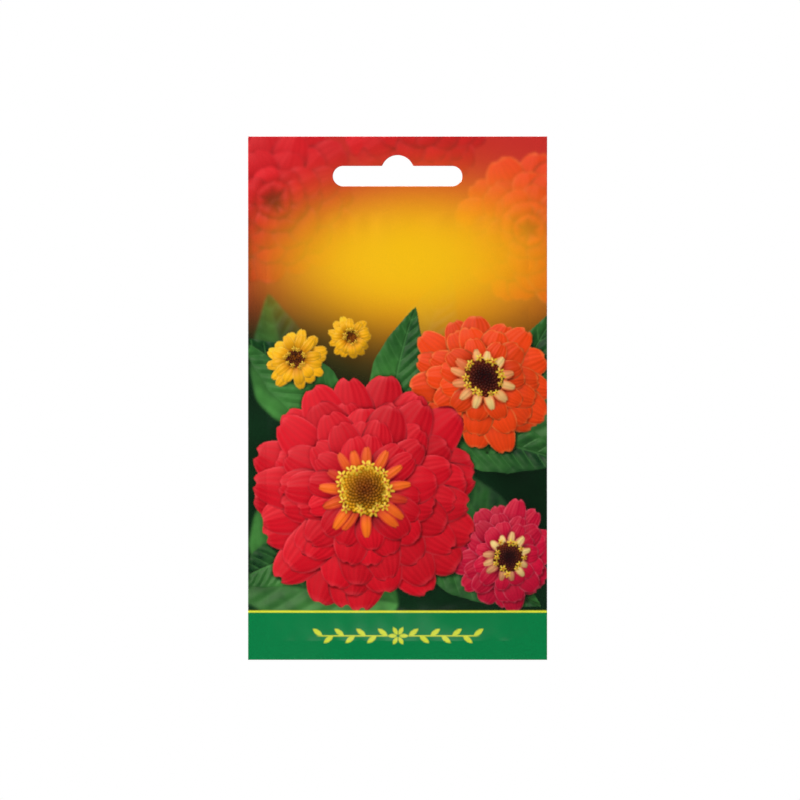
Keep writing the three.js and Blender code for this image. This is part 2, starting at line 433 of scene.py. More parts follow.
def build_web(name, side, bulge, picture, materials):
    """One web as a closed sheet: a fine printed face, a plain inner face, and the cut edges between them.
    materials are the print's and the bare paper's. Each point of the printed face keeps its colour."""
    edge, slot = packet_outline(PRINT_SPACING), slot_outline(PRINT_SPACING)
    printed, printed_faces = web_plan(edge, slot, PRINT_SPACING)
    inner, inner_faces = web_plan(edge, slot, INNER_SPACING)
    inner_faces = inner_faces[:, ::-1] + len(printed)
    plan = np.concatenate([printed, inner])
    x, z = plan.T
    lift = np.where(np.arange(len(plan)) < len(printed), WEB + weld_crimp(x, z), 0.0)
    places = np.stack([x, web_y(x, z, side, bulge, lift), z], 1)

    cut_edge, slot_edge = np.arange(len(edge)), len(edge) + np.arange(len(slot))
    rims = []
    for ring, step in ((cut_edge, -1), (slot_edge, 1)):
        beside = np.roll(ring, step)
        rims.append(np.stack([beside, ring, ring + len(printed), beside + len(printed)], 1))
    rims = np.concatenate(rims)
    faces = [printed_faces, inner_faces, rims]
    if side > 0:
        faces = [some[:, ::-1] for some in faces]

    mesh = bpy.data.meshes.new(name)
    corners = fill_mesh(mesh, places, faces)
    counts = [len(some) for some in faces]
    mesh.polygons.foreach_set("material_index", np.repeat([0, 1, 1], counts))
    is_rim = np.repeat([False, False, True], counts)
    mesh.attributes.new("sharp_face", "BOOLEAN", "FACE").data.foreach_set("value", is_rim)
    for material in materials:
        mesh.materials.append(material)

    colour = np.ones((len(plan), 3), np.float32)
    colour[: len(printed)] = picture_at(picture, *printed.T)
    mesh.attributes.new("print", "FLOAT_VECTOR", "POINT").data.foreach_set("vector", colour.ravel())
    inwards = np.min([WIDTH / 2 - np.abs(x), z - FOOT, TOP - z, slot_distance(x, z)], axis=0)
    inwards = np.clip(inwards, 0, None).astype(np.float32)
    mesh.attributes.new("edge_distance", "FLOAT", "POINT").data.foreach_set("value", inwards)

    # The map for baking: the printed face at full height, the inner face at half, the rims in a strip
    tall = 1 - 2 * MAP_MARGIN
    flat = (plan - [-WIDTH / 2, FOOT]) / HEIGHT
    spots = flat[corners] * tall + MAP_MARGIN
    beside_x = 2 * MAP_MARGIN + WIDTH / HEIGHT * tall
    inner_part = slice(faces[0].size, faces[0].size + faces[1].size)
    spots[inner_part] = [beside_x, MAP_MARGIN] + flat[corners[inner_part]] * tall / 2
    quad = np.tile([[0, 0], [1, 0], [1, 1], [0, 1]], (len(rims), 1)).astype(float)
    quad[:, 0] = (quad[:, 0] + np.repeat(np.arange(len(rims)), 4)) / len(rims)
    strip = [1 - MAP_MARGIN - beside_x, RIM_STRIP]
    spots[inner_part.stop :] = [beside_x, 1 - MAP_MARGIN - RIM_STRIP] + quad * strip
    mesh.uv_layers.new(name="OFBake").uv.foreach_set("vector", spots.astype(np.float32).ravel())

    web = new_object(name, mesh)
    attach(web, "root")
    return web


# The picture on the front: a bunch of garden flowers under a golden haze. It is worked out as a low
# relief of petals and leaves, laid from the farthest to the nearest and lit once.

SAMPLES = 8  # to a millimetre
page_x, page_z = np.meshgrid(
    (np.arange(round(WIDTH * SAMPLES)) + 0.5) / SAMPLES - WIDTH / 2,
    TOP - (np.arange(round(HEIGHT * SAMPLES)) + 0.5) / SAMPLES,
)
LIGHT = np.array([-0.38, 0.56, 0.74]) / math.hypot(0.38, 0.56, 0.74)  # towards the picture's sun
AMBIENT = 0.34
SUN = 0.74
SHADOW_STEPS = 0.15, 5.0, 0.25  # the nearest and farthest that a shadow falls, and the step between
NARROW_HOLLOW = 0.4
WIDE_HOLLOW = 1.6
DARKEST_HOLLOW = 0.92
GLEAM = np.array([1.0, 0.86, 0.8])
WHITEST = 0.9  # the most light that an ink gives back

LEAF_INKS = ink(0x0F3A1A), ink(0x4C9440)
CRIMSON = ink(0x5C020C), ink(0xD20C20), ink(0xF4505A)
SCARLET = ink(0x8E1206), ink(0xF04410), ink(0xFFAE5E)
ROSE = ink(0x5E0218), ink(0xC40C34), ink(0xFF7A90)
GOLD = ink(0xC86A04), ink(0xFBB414), ink(0xFFE27A)
POLLEN = ink(0xFFD23A), ink(0xC8501A)
DARK_EYE = ink(0x240608), ink(0x7A2A0C)
GOLDEN_EYE = ink(0x7A3A04), ink(0xF2A812)
CREAM = ink(0xF8D888)
FLAME = ink(0xFF7A1C)
HAZE_RED = ink(0xDC322E)
HAZE_ORANGE = ink(0xF08A18)
HAZE_GOLD = ink(0xF3BC12)
SHADE_GREEN = ink(0x0B2A14)
BAND_GREEN = ink(0x04763F)
BAND_EDGE = ink(0xD8DE3A)
BAND_TOP = -122.0
BAND_LINE = 0.5
SPRIG_LEAVES = 7  # to each side
SPRIG_PITCH = 2.9
SPRIG_TILT = math.radians(38)

PETAL_FULL = 0.66  # how far out a petal is widest
LEAF_VEINS = 8


def over(picture, share, colour):
    """A colour laid over a picture, by a share at each sample."""
    return picture + (colour - picture) * share[..., None]


def mottle(draw, size):
    """Soft, even blotches over the page, from about -1 to 1."""
    total = np.zeros(page_x.shape)
    for halving in (1, 2, 4):
        rows = (TOP - page_z[:, 0]) / size * halving
        columns = (page_x[0] + WIDTH / 2) / size * halving
        values = draw.uniform(-1, 1, (int(rows[-1]) + 2, int(columns[-1]) + 2))
        row, column = rows.astype(int), columns.astype(int)
        down, right = smooth(0, 1, rows - row)[:, None], smooth(0, 1, columns - column)
        upper, lower = (
            values[np.ix_(some, column)] * (1 - right) + values[np.ix_(some, column + 1)] * right
            for some in (row, row + 1)
        )
        total += (upper * (1 - down) + lower * down) / halving
    return total / 1.75


def soften(values, radius):
    """values blurred by radius millimetres: three running means each way."""
    reach = max(1, int(radius * SAMPLES))
    for axis in (0, 1) * 3:
        turned = np.moveaxis(values, axis, 0)
        padded = np.concatenate([turned[:1]] * (reach + 1) + [turned] + [turned[-1:]] * reach)
        sums = np.cumsum(padded, axis=0)
        values = np.moveaxis((sums[2 * reach + 1 :] - sums[: -2 * reach - 1]) / (2 * reach + 1), 0, axis)
    return values


def part_of_page(x, z, reach):
    """The page's samples within reach of a point."""
    spots = (TOP - z) * SAMPLES, (x + WIDTH / 2) * SAMPLES
    far = reach * SAMPLES
    return tuple(slice(max(0, int(spot - far)), max(0, int(spot + far) + 1)) for spot in spots)


class Relief:
    """Petals and leaves that lie over one another on the page: at each sample, a height and a colour."""

    def __init__(self):
        self.colour = np.zeros((*page_x.shape, 3))
        self.height, self.slope_x, self.slope_z, self.cover, self.shine = np.zeros((5, *page_x.shape))

    def lay(self, part, mask, height, colour, shine):
        """Lays a shape over what is there. All but part are given at part's samples."""
        if min(height.shape) < 2:
            return
        down, right = np.gradient(height, 1 / SAMPLES)
        self.height[part][mask] = height[mask]
        self.slope_x[part][mask] = right[mask]
        self.slope_z[part][mask] = -down[mask]
        self.colour[part][mask] = colour[mask]
        self.cover[part][mask] = 1
        self.shine[part][mask] = shine

    def lit(self):
        """The relief in sunlight: cast shadows, darker hollows, and a soft shine on petals."""
        flat = math.hypot(LIGHT[0], LIGHT[1])
        shadow = np.zeros(page_x.shape)
        for far in np.arange(*SHADOW_STEPS):
            right, down = round(LIGHT[0] / flat * far * SAMPLES), round(-LIGHT[1] / flat * far * SAMPLES)
            blocker = np.roll(self.height, (-down, -right), (0, 1))
            above = blocker - far * LIGHT[2] / flat - self.height
            shadow = np.maximum(shadow, np.clip(above / (0.12 + 0.3 * far), 0, 1))
        shadow = soften(shadow, 0.15)
        hollow = np.clip(soften(self.height, NARROW_HOLLOW) - self.height, 0, 1)
        hollow += 0.7 * np.clip((soften(self.height, WIDE_HOLLOW) - self.height) / 2.6, 0, 1)
        hollow = np.minimum(hollow, DARKEST_HOLLOW)
        normal = np.stack([-self.slope_x, -self.slope_z, np.ones(page_x.shape)], -1)
        normal /= np.linalg.norm(normal, axis=-1, keepdims=True)
        half_way = LIGHT + [0, 0, 1]
        gleam = np.clip(normal @ (half_way / np.linalg.norm(half_way)), 0, 1) ** 22
        light = AMBIENT * (1 - hollow) * (0.7 + 0.3 * normal[..., 2])
        light += SUN * np.clip(normal @ LIGHT, 0, 1) * (1 - 0.85 * shadow) * (1 - 0.5 * hollow)
        gleam = self.shine * gleam * (1 - shadow) * (1 - hollow)
        return self.colour * light[..., None] + gleam[..., None] * GLEAM


def turned(x, z, angle):
    """How far offsets run along an angle, and aside from it to its left."""
    return x * math.cos(angle) + z * math.sin(angle), z * math.cos(angle) - x * math.sin(angle)


def on_flower(stand, out, angle, height):
    """Where a point of a flower shows that is out from its middle, at an angle, and height above it. A
    flower's stand is its middle's place, how far it leans away, and which way."""
    x, z, lean, lean_to = stand
    toward, aside = turned(out * math.cos(angle), out * math.sin(angle), lean_to)
    off_x, off_z = turned(toward * math.cos(lean) + height * math.sin(lean), aside, -lean_to)
    return x + off_x, z + off_z


def petal_form(along, aside, length, width, bow, tone):
    """A spoon-shaped petal with a notched tip: its mask, height, and shares along and across it."""
    along = along / length
    aside = aside - bow * length * along**2
    taper = np.clip(1 - ((along - PETAL_FULL) / (1 - PETAL_FULL)) ** 2, 0, 1) ** 0.45
    swell = np.where(along < PETAL_FULL, 0.3 + 0.7 * smooth(0, PETAL_FULL, along), taper)
    across = aside / np.maximum(width / 2 * swell, 1e-3)
    notch = 0.028 * np.exp(-((aside / (0.1 * width)) ** 2))
    notch += 0.012 * np.cos(16 * aside / width + 3 * tone)
    side = 1 + 0.03 * np.sin(15 * along + 9 * tone)
    mask = (np.abs(across) < side) & (along > 0.02) & (along < 1 - notch)
    along, across = np.clip(along, 0, 1.15), np.clip(across, -1.3, 1.3)
    height = 1.15 * np.sin(0.88 * math.pi * along**1.5) - 0.6 * across**2 * width / 9
    height += 0.04 * np.cos(2.4 * math.pi * across) * smooth(0, 0.4, along)
    height += 0.018 * np.cos(19 * across + 5 * tone)
    return mask, height, along, across


def petal_colour(along, across, inks, tone, tip):
    """Deep at the root, paler at the rim, with fine streaks. tip is what the face fades to, or None."""
    deep, body, rim = inks
    colour = over(deep, smooth(0.1, 0.8, along), body)
    streak = np.cos(21 * across + 1.4 * np.sin(6 * along + 4 * tone))
    colour = colour * ((1 + 0.08 * tone) * (0.98 + 0.05 * streak))[..., None]
    edge = smooth(0.86, 1, np.abs(across)) * smooth(0.2, 0.6, along) + smooth(0.93, 1, along)
    colour = over(colour, 0.32 * np.clip(edge, 0, 1), rim)
    if tip is not None:
        share = smooth(0.35, 0.75, along) * smooth(1.1, 0.45, np.abs(across))
        colour = over(colour, share * np.clip(0.7 + 0.25 * tone, 0.2, 0.95), tip)
    return colour


def lay_petals(relief, draw, stand, radius, rings, inks, lift, tip):
    """The petals of a bloom, ring by ring from the outermost. A ring is its petals' count, their reach
    and width as shares of the radius, and their height. Only the innermost ring has the tip's ink."""
    lean, lean_to = stand[2:]
    for number, (count, reach, wide, height) in enumerate(rings):
        ring_x, ring_z = on_flower(stand, 0, 0, height)
        ring_tip = tip if number == len(rings) - 1 else None
        for petal in draw.permutation(count):
            angle = 2 * math.pi * (petal + number % 2 / 2) / count + draw.normal(0, 0.06)
            length = radius * reach * (1 + draw.normal(0, 0.04))
            width = radius * wide * (1 + draw.normal(0, 0.07))
            tone, bow, rise = draw.normal(0, 1), draw.normal(0, 0.06), draw.uniform(0, 0.6)
            middle = on_flower(stand, length / 2, angle, height)
            part = part_of_page(*middle, max(length * 0.58, width * 0.8))
            toward, aside = turned(page_x[part] - ring_x, page_z[part] - ring_z, lean_to)
            along, off = turned(toward / math.cos(lean), aside, angle - lean_to)
            mask, form, along, across = petal_form(along, off, length, width, bow, tone)
            colour = petal_colour(along, across, inks, tone, ring_tip)
            relief.lay(part, mask, form + height + lift + rise, colour, 0.035)


def lay_eye(relief, draw, stand, radius, lift, dome, beads, inks):
    """A bloom's domed eye: beads in a spiral, the outermost first. inks are its core's and its rim's."""
    core, rim = inks
    golden_angle = math.pi * (3 - math.sqrt(5))
    for bead in range(beads):
        out = radius * math.sqrt((beads - bead - 0.5) / beads)
        up = lift + dome * (1 - (out / radius) ** 2)
        x, z = on_flower(stand, out, bead * golden_angle, up)
        size = radius * (0.07 + 0.055 * out / radius)
        part = part_of_page(x, z, size * 1.2)
        share = np.hypot(page_x[part] - x, page_z[part] - z) / size
        height = up + 1.3 * size * np.sqrt(np.clip(1 - share**2, 0, 1))
        bead_ink = core + (rim - core) * (out / radius) ** 2.4
        colour = bead_ink * (1 + draw.normal(0, 0.14)) * (1.35 - 0.6 * share)[..., None]
        relief.lay(part, share < 1, height, colour, 0.04)


def lay_florets(relief, draw, stand, radius, lift, count, size):
    """The five-pointed florets that open in a ring round an eye."""
    petals, heart = POLLEN
    for floret in range(count):
        angle = 2 * math.pi * (floret + draw.uniform(-0.3, 0.3)) / count
        x, z = on_flower(stand, radius * (1 + draw.normal(0, 0.1)), angle, lift)
        reach = size * draw.uniform(0.75, 1.15)
        part = part_of_page(x, z, reach * 1.1)
        off_x, off_z = page_x[part] - x, page_z[part] - z
        share = np.hypot(off_x, off_z) / reach
        points = 0.62 + 0.34 * np.cos(5 * (np.arctan2(off_z, off_x) + angle + draw.uniform(0, 1)))
        colour = over(heart, smooth(0.12, 0.38, share), petals) * draw.uniform(0.85, 1.08)
        relief.lay(part, share < points, lift + 0.5 * (2 - share), colour, 0.06)


def bloom(relief, draw, stand, radius, rings, inks, lift, tip, eye=0.26, beads=130, eye_inks=DARK_EYE):
    """A whole bloom: its petals, its eye, and the florets round that."""
    lay_petals(relief, draw, stand, radius, rings, inks, lift, tip)
    top = rings[-1][3] + lift + 0.4
    lay_eye(relief, draw, stand, radius * eye, top, radius * 0.07, beads, eye_inks)
    florets = round(6 + radius * 0.42)
    lay_florets(relief, draw, stand, radius * eye, top + 0.5, florets, 0.5 + radius * 0.034)


def leaf(relief, draw, x, z, degrees, length, width, bend, blotches, lift):
    """A broad leaf from its root, with a pale midrib and side veins that run forwards to its edge."""
    angle = math.radians(degrees)
    middle = x + math.cos(angle) * length / 2, z + math.sin(angle) * length / 2
    part = part_of_page(*middle, length * 0.62)
    along, aside = turned(page_x[part] - x, page_z[part] - z, angle)
    along = along / length
    aside = aside - bend * along * (along - 0.1)
    run = np.clip(along, 0, 1)
    half = width / 2 * np.sin(math.pi * run**0.72) ** 0.8 * (1 - 0.25 * run**3)
    across = aside / np.maximum(half * (1 + 0.02 * np.sin(27 * run + draw.uniform(0, 6))), 1e-3)
    mask = (np.abs(across) < 1) & (along > 0) & (along < 1)
    side = np.clip(np.abs(across), 0, 1.2)
    off = np.abs(aside) / (width / 2)
    phase = run * LEAF_VEINS - 1.9 * off - 0.5 * off**2
    vein = np.exp(-(((phase - np.round(phase)) / 0.055) ** 2))
    vein *= smooth(1.02, 0.55, side) * smooth(0.02, 0.1, side)
    rib = np.exp(-((aside / (0.16 + 0.3 * (1 - run))) ** 2))
    groove = 0.16 * np.cos(2 * math.pi * phase) * smooth(0.05, 0.3, side) * smooth(1.05, 0.6, side)
    blotch = blotches[part]
    height = lift + 0.08 * width * side - 0.5 * side**3 + 1.1 * np.sin(math.pi * run)
    height += 0.12 * blotch - groove - 0.15 * vein - 0.3 * rib
    dark, light = LEAF_INKS
    share = np.clip(0.42 + 0.2 * np.sin(5 * run + 1) + 0.14 * np.sign(across) + 0.25 * blotch, 0, 1)
    colour = over(dark, share, light)
    colour = over(colour, 0.5 * np.clip(0.65 * vein + 0.9 * rib, 0, 1), 1.35 * light + 0.04)
    relief.lay(part, mask, height, colour, 0.045)


def oval(x, z, width, height):
    """1 in the middle of an oval and 0 well outside it."""
    return np.exp(-((((page_x - x) / width) ** 2 + ((page_z - z) / height) ** 2) ** 1.4))


def lozenge(x, z, angle, length, width):
    """A small pointed leaf as a flat shape with soft edges."""
    along, aside = turned(page_x - x, page_z - z, angle)
    half = np.clip(1 - (along / length * 2) ** 2, -0.2, 1)
    return smooth(0.12, -0.12, np.abs(aside) / width * 2 - half)


def blade(x, z, angle, start, length, width):
    """A lozenge that points away from a place, and starts at a distance from it."""
    middle = start + length / 2
    return lozenge(x + middle * math.cos(angle), z + middle * math.sin(angle), angle, length, width)


def far_flowers(draw, blotches):
    """What stands behind the bunch, out of focus: leaves below, and red and orange blooms above."""
    far = Relief()
    for place in (
        (-26, -72, 108, 36, 19),
        (30, -80, 60, 46, 22),
        (0, -120, 170, 50, 24),
        (34, -118, 120, 44, 20),
        (-36, -112, 60, 40, 20),
        (5, -60, 80, 30, 16),
    ):
        leaf(far, draw, *place, draw.uniform(-5, 5), blotches, 0.5)
    rings = [
        (16, 1.0, 0.5, 1.0),
        (13, 0.8, 0.45, 2.0),
        (10, 0.6, 0.4, 3.0),
        (8, 0.4, 0.34, 3.8),
        (6, 0.22, 0.24, 4.4),
    ]
    lay_petals(far, draw, (6, 10, 0, 0), 20, rings, CRIMSON, 0, None)
    lay_petals(far, draw, (-33, -12, 0, 0), 23, rings, CRIMSON, 4, None)
    lay_petals(far, draw, (35, -20, 0, 0), 20, rings, SCARLET, 4, None)
    shade = SHADE_GREEN * (0.9 + 0.5 * mottle(draw, 14))[..., None]
    ground = over(shade, smooth(-52, -20, page_z), HAZE_RED * 0.7)
    return soften(over(ground, far.cover, far.lit()), 0.3)


def near_flowers(draw, blotches):
    """The bunch itself, in focus."""
    near = Relief()
    for place in (
        (12, -74, -8, 34, 17, -4),
        (6, -100, -38, 38, 19, 4),
        (-16, -70, 134, 34, 16, 5),
        (-2, -70, 84, 30, 14, -4),
        (24, -80, 70, 44, 15, -5),
        (-24, -106, 196, 22, 13, 3),
    ):
        leaf(near, draw, *place, blotches, 0.1)
    small = [(13, 1.0, 0.4, 0.6), (11, 0.84, 0.36, 1.2)]
    middling = [(15, 1.0, 0.46, 0.8), (13, 0.82, 0.42, 1.7), (11, 0.62, 0.34, 2.6), (12, 0.45, 0.15, 3.2)]
    large = [
        (18, 1.0, 0.4, 1.0),
        (17, 0.88, 0.37, 2.0),
        (15, 0.76, 0.34, 3.0),
        (14, 0.63, 0.3, 4.0),
        (13, 0.51, 0.25, 4.8),
        (15, 0.4, 0.1, 5.4),
    ]
    bloom(near, draw, (-27, -55, 0.4, math.radians(120)), 8.5, small, GOLD, 0.5, None, 0.3, 70)
    bloom(near, draw, (-13, -49, 0.3, math.radians(60)), 6, small, GOLD, 0.4, None, 0.3, 50)
    bloom(near, draw, (22, -61, 0.4, math.radians(60)), 19.5, middling, SCARLET, 1.0, CREAM)
    bloom(near, draw, (28, -107, 0.35, math.radians(-20)), 15, middling, ROSE, 0.8, CREAM)
    largest = -9, -91, 0.2, math.radians(80)
    bloom(near, draw, largest, 31.5, large, CRIMSON, 2.0, FLAME, 0.2, 200, GOLDEN_EYE)
    return near


def front_picture():
    """The whole front, in linear light."""
    draw = np.random.default_rng(23)
    blotches = mottle(draw, 3.0)
    behind = far_flowers(draw, blotches)
    near = near_flowers(draw, blotches)
    picture = behind * (1 - 0.55 * soften(near.cover, 1.3))[..., None]
    picture = over(picture, 0.28 * smooth(-42, 2, page_z) * (1 - near.cover), HAZE_RED)
    picture = over(picture, 0.7 * oval(13, -29, 33, 22), HAZE_ORANGE)
    picture = over(picture, 0.97 * oval(2, -28, 32, 16), HAZE_GOLD)
    picture = over(picture, near.cover, near.lit())
    return np.clip(with_band(picture), 0, WHITEST)


def with_band(picture):
    """The green band across the foot, its yellow edge line, and a sprig of small leaves along it."""
    picture = over(picture, smooth(BAND_TOP + 0.1, BAND_TOP - 0.1, page_z), BAND_GREEN)
    edge_line = smooth(BAND_LINE / 2 + 0.1, BAND_LINE / 2 - 0.1, np.abs(page_z - BAND_TOP))
    middle = (BAND_TOP + FOOT) / 2
    sprig = [blade(0, middle, petal * math.pi / 3, 0.3, 2.4, 1.1) for petal in range(6)]
    for side in (-1, 1):
        sprig.append(lozenge(side * 12, middle, 0, 23, 0.35))
        for number in range(1, SPRIG_LEAVES + 1):
            x = side * (1.2 + SPRIG_PITCH * number)
            up = 1 if number % 2 else -1
            sprig.append(lozenge(x, middle + 0.9 * up, side * up * SPRIG_TILT, 3.3, 1.3))
    return over(picture, np.maximum(edge_line, 0.85 * np.max(sprig, axis=0)), BAND_EDGE)


def picture_at(picture, x, z):
    """The picture at points of the page, from the mean of the samples round each."""
    row = np.clip((TOP - z) * SAMPLES, 1, page_x.shape[0] - 1)
    column = np.clip((x + WIDTH / 2) * SAMPLES, 1, page_x.shape[1] - 1)
    row, column = row.astype(int), column.astype(int)
    return sum(picture[row - up, column - left] for up in (1, 0) for left in (1, 0)) / 4


# Ink grain: the faint unevenness of ink on paper, darker and paler by Strength
ink_grain, given, result = new_group(
    "ink grain", {"Colour": "Color", "Size": "Float", "Strength": "Float"}, {"Colour": "Color"}
)
offset = sum_up(ink_grain, "SUBTRACT", noise_in(ink_grain, given["Size"], Detail=2.0), 0.5)
offset = sum_up(ink_grain, "MULTIPLY", offset, given["Strength"])
share = sum_up(ink_grain, "ADD", 1.0, offset)
grained = {0: given["Colour"], "Scale": share}
grained = add(ink_grain, "ShaderNodeVectorMath", grained, operation="SCALE")
feed(ink_grain, result, {"Colour": grained.outputs[0]})

# Rubbed edge: ink worn to the bare paper in specks along the cut edges, no further in than Reach
rubbed_edge, given, result = new_group(
    "rubbed edge",
    {"Colour": "Color", "Bare": "Color", "Edge Distance": "Float", "Reach": "Float", "Size": "Float"},
    {"Colour": "Color"},
)
specks = noise_in(rubbed_edge, given["Size"], Detail=3.0)
depth = sum_up(rubbed_edge, "DIVIDE", given["Edge Distance"], given["Reach"])
worn = sum_up(rubbed_edge, "SUBTRACT", specks, sum_up(rubbed_edge, "MULTIPLY", depth, 0.35))
worn = spread(rubbed_edge, worn, 0.6, 0.66, 0.0, 1.0)
left_bare = blend(rubbed_edge, worn, given["Colour"], given["Bare"])
feed(rubbed_edge, result, {"Colour": left_bare})

# Handling: the clear film's dull and shiny patches
handling, given, result = new_group(
    "handling", {"Size": "Float", "Dull": "Float", "Shiny": "Float"}, {"Roughness": "Float"}
)
patches = noise_in(handling, given["Size"], Detail=5.0, Distortion=0.6)
film = spread(handling, patches, 0.35, 0.65, given["Shiny"], given["Dull"])
feed(handling, result, {"Roughness": film})

BARE_PAPER = 0xEEEADF
PULP_SHADE = 0xE2DDCF
WORN_REACH = 0.13
WORN_SPECKS = 1 / 1400  # metres
FILM_COAT = 0.3
FILM_ROUGHNESS = 0.08


def printed_paper(name, shiny, dull):
    """Printed paper under clear film, as rough as shiny in some patches and as dull in others."""
    material, tree, shader = new_material(name)
    printed = add(tree, "ShaderNodeAttribute", attribute_name="print").outputs["Vector"]
    edge = add(tree, "ShaderNodeAttribute", attribute_name="edge_distance").outputs["Fac"]
    grained = place_group(tree, ink_grain, {"Colour": printed, "Size": 0.0003, "Strength": 0.12})
    rubbed = place_group(tree, rubbed_edge, {
        "Colour": grained["Colour"],
        "Bare": rgba(BARE_PAPER),
        "Edge Distance": edge,
        "Reach": WORN_REACH,
        "Size": WORN_SPECKS,
    })
    film = place_group(tree, handling, {"Size": 0.02, "Dull": dull, "Shiny": shiny})
    feed(tree, shader, {
        "Base Color": rubbed["Colour"],
        "Roughness": film["Roughness"],
        "Coat Weight": FILM_COAT,
        "Coat Roughness": FILM_ROUGHNESS,
    })
    fibres = place_group(tree, fibre, {"Size": 0.0007, "Stretch": 1.0, "Height": 0.006})
    emboss(tree, shader, fibres["Height"])
    return material


bare_paper, tree, shader = new_material("bare paper")
pulp = place_group(tree, fibre, {"Size": 0.0005, "Stretch": 1.0, "Height": 0.01})
pulp_share = spread(tree, pulp["Grain"], 0.3, 0.7, 0.0, 1.0)
dullness = spread(tree, pulp["Grain"], 0.3, 0.7, 0.85, 0.75)
pulp_colour = blend(tree, pulp_share, rgba(PULP_SHADE), rgba(BARE_PAPER))
feed(tree, shader, {"Base Color": pulp_colour, "Roughness": dullness})
emboss(tree, shader, pulp["Height"])

front_print = printed_paper("front print", 0.16, 0.26)
front_web = build_web("front_web", -1, FRONT_BULGE, front_picture(), [front_print, bare_paper])
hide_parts("front_sheet")

# --- Back web -------------------------------------------------------------------------------------
# The back is a second web of the same paper, welded to the front and cut with it. It is printed with a
# gold header, three signs, a sowing chart, a drawing of a plant's growth and a green band. It swells less
# than the front.

BACK_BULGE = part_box("back_sheet")[1].y / MM - WEB
BACK_CREAM = ink(0xE8E0C8)
HEADER_FOOT = -14.0  # of the gold print
SIGN_ORANGE = ink(0xF0921E)
SIGN_WHITE = ink(0xFFFBEE)
SIGN_RADIUS = 6.0
SIGN_PITCH = 18.0
SIGN_Z = -27.0
PANEL_WHITE = ink(0xF2EFE2)
PANEL_LINE = ink(0x2A8A54)
CHART_CELLS = 12
CHART_WIDTH = 60.0
CHART_TOP = -42.0
CHART_HEIGHT = 5.0
CHART_LINE = 0.4
SOWING = (2, 3, 4)  # boxes of the chart, from 0
FLOWERING = (6, 7, 8, 9)
GROWTH_PANEL = 0.0, -86.0, 32.0, 32.0  # its middle, half its width and half its height
GROWTH_LINE = 0.7
SOIL_TOP = -104.0
SOIL = ink(0x6A4728), ink(0x8C643C)
SEED_INK = ink(0xD9C49A)
PALE_SKY = ink(0xD5E6DC)
PLANTS = (-10.5, 8.0, 1), (4.5, 20.0, 3), (20.0, 34.0, 4)  # X, height and pairs of leaves


def panel(x, z, half_width, half_height, corner):
    """A rectangle with round corners and soft edges, seen on the back, where X runs to the left."""
    out_x = np.abs(-page_x - x) - half_width + corner
    out_z = np.abs(page_z - z) - half_height + corner
    distance = np.hypot(np.clip(out_x, 0, None), np.clip(out_z, 0, None)) - corner
    return smooth(0.1, -0.1, distance + np.minimum(np.maximum(out_x, out_z), 0))


def framed(picture, x, z, half_width, half_height, corner, line_width, fill_ink):
    """A panel with a thin frame."""
    picture = over(picture, panel(x, z, half_width, half_height, corner), PANEL_LINE)
    inner = half_width - line_width, half_height - line_width, max(corner - line_width, 0.1)
    return over(picture, panel(x, z, *inner), fill_ink)


def sun_sign(x, z):
    """A disc with eight short rays."""
    rays = [blade(-x, z, number * math.pi / 4, 2.2, 1.8, 0.8) for number in range(8)]
    return np.max([panel(x, z, 1.6, 1.6, 1.6), *rays], axis=0)


def drop_sign(x, z):
    """A drop of water: a disc with a point drawn up from it."""
    up = (page_z - z) / 3.6
    point = 1.9 * np.clip(1 - up, 0, None) / 1.15
    round_end = np.sqrt(np.clip(3.6 - (3.6 * up + 0.6) ** 2, 0, None))
    width = np.where(up > -0.15, point, round_end)
    return smooth(0.12, -0.12, np.abs(-page_x - x) - width) * (width > 0) * (up > -1)


def sprout_sign(x, z):
    """A stem with two leaves over a line of soil."""
    leaves = [lozenge(-x + side * 1.6, z + 1.9, side * math.radians(32), 3.8, 1.7) for side in (-1, 1)]
    return np.max([panel(x, z - 3.0, 3.4, 0.28, 0.2), panel(x, z - 1.0, 0.22, 2.0, 0.2), *leaves], axis=0)


def growing_plant(picture, x, height, pairs, in_bloom):
    """A plant over its roots: a stem, pairs of leaves that shrink upwards, and a flower if in bloom."""
    head = SOIL_TOP + height
    green = [panel(x, SOIL_TOP + height / 2, 0.4, height / 2, 0.3)]
    for number in range(pairs):
        z = SOIL_TOP + height * (number + 1) / (pairs + 0.8 * in_bloom)
        reach = 3.2 + 0.17 * height * (1 - 0.5 * number / pairs)
        for side in (-1, 1):
            spot = -x + side * reach * 0.46, z + reach * 0.2
            green.append(lozenge(*spot, side * math.radians(26), reach, reach * 0.42))
    reach = 3 + 0.14 * height
    roots = [blade(-x, SOIL_TOP, math.radians(turn), 0, reach, 0.7) for turn in (-128, -90, -52)]
    picture = over(picture, np.max(roots, axis=0), SEED_INK)
    picture = over(picture, np.max(green, axis=0), PANEL_LINE)
    if in_bloom:
        for count, reach, petal_ink in ((14, 7.4, CRIMSON[1]), (11, 5.2, SCARLET[1])):
            for petal in range(count):
                share = blade(-x, head, 2 * math.pi * petal / count, 0, reach, reach * 0.4)
                picture = over(over(picture, share, 0.6 * petal_ink), share**6, petal_ink)
        picture = over(picture, panel(x, head, 1.7, 1.7, 1.7), GOLD[1])
    return picture


